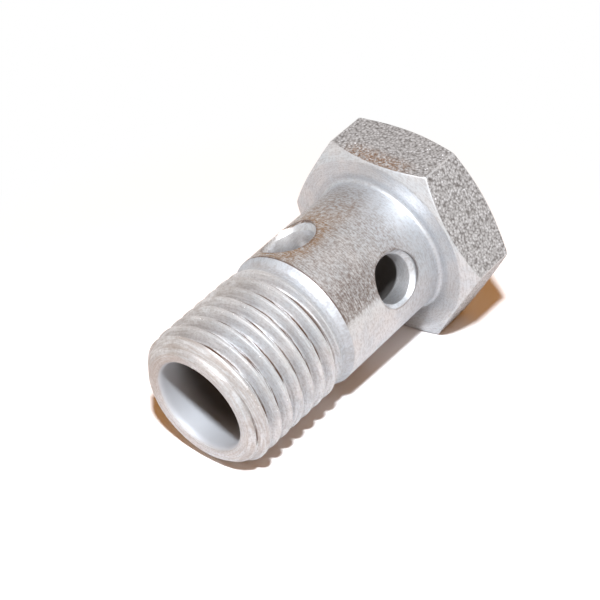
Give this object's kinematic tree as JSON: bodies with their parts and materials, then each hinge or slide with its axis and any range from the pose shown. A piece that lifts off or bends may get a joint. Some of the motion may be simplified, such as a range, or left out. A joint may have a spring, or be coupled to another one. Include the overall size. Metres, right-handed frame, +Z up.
{
  "type": "banjo bolt",
  "caption": "Hexagon-head banjo bolt with a fine thread, blind axial bore and cross drillings that feed a fluid through a banjo fitting.",
  "frame": {"origin": "centre of the bounding box at floor level, with the bolt lying on one hexagon flat's seat-side edge and its last thread crest", "axes": "+Z up; the bolt's axis lies in the XZ plane with the head towards +X and the thread end towards -X, dipping 6.09 degrees to the floor at the thread end; +Y is level, across one pair of the hexagon's corners"},
  "size_m": [0.0336, 0.022, 0.0195],
  "materials": {
    "zinc_plated_steel": "bright zinc plating, slightly worn, with brown-grey specks and faint rust tints"
  },
  "bodies": {
    "root": {"banjo_bolt": "zinc_plated_steel"}
  },
  "joints": []
}
